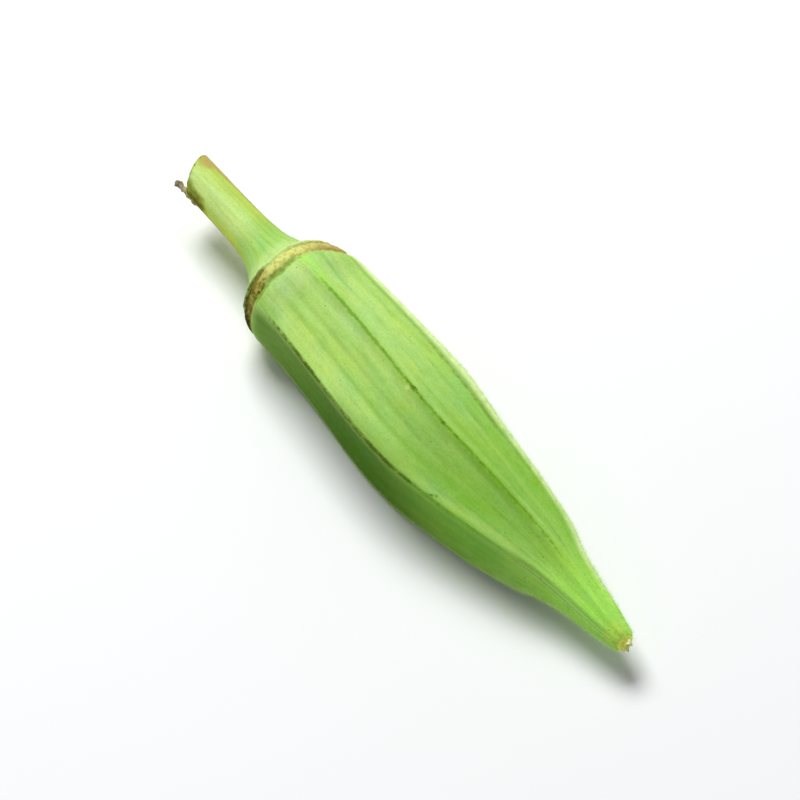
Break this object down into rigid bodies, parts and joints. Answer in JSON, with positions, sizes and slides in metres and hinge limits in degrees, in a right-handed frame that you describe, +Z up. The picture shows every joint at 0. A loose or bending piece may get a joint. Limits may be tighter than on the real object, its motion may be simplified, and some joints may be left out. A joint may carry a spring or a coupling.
{
  "type": "okra pod",
  "caption": "Fresh okra pod as picked: slim ribbed green capsule with a ring scar, a flared cut stem and a short blunt beak, lying on its side.",
  "frame": {"origin": "middle of the pod's bounding box seen from above, on the level surface that it lies on", "axes": "+X along the pod from the cut stem to the tip, +Z up from the surface, +Y to the pod's left seen from the stem"},
  "size_m": [0.101, 0.0194, 0.0187],
  "materials": {
    "pod_skin": "satin"
  },
  "bodies": {
    "root": {"okra_pod": "pod_skin"}
  },
  "joints": []
}
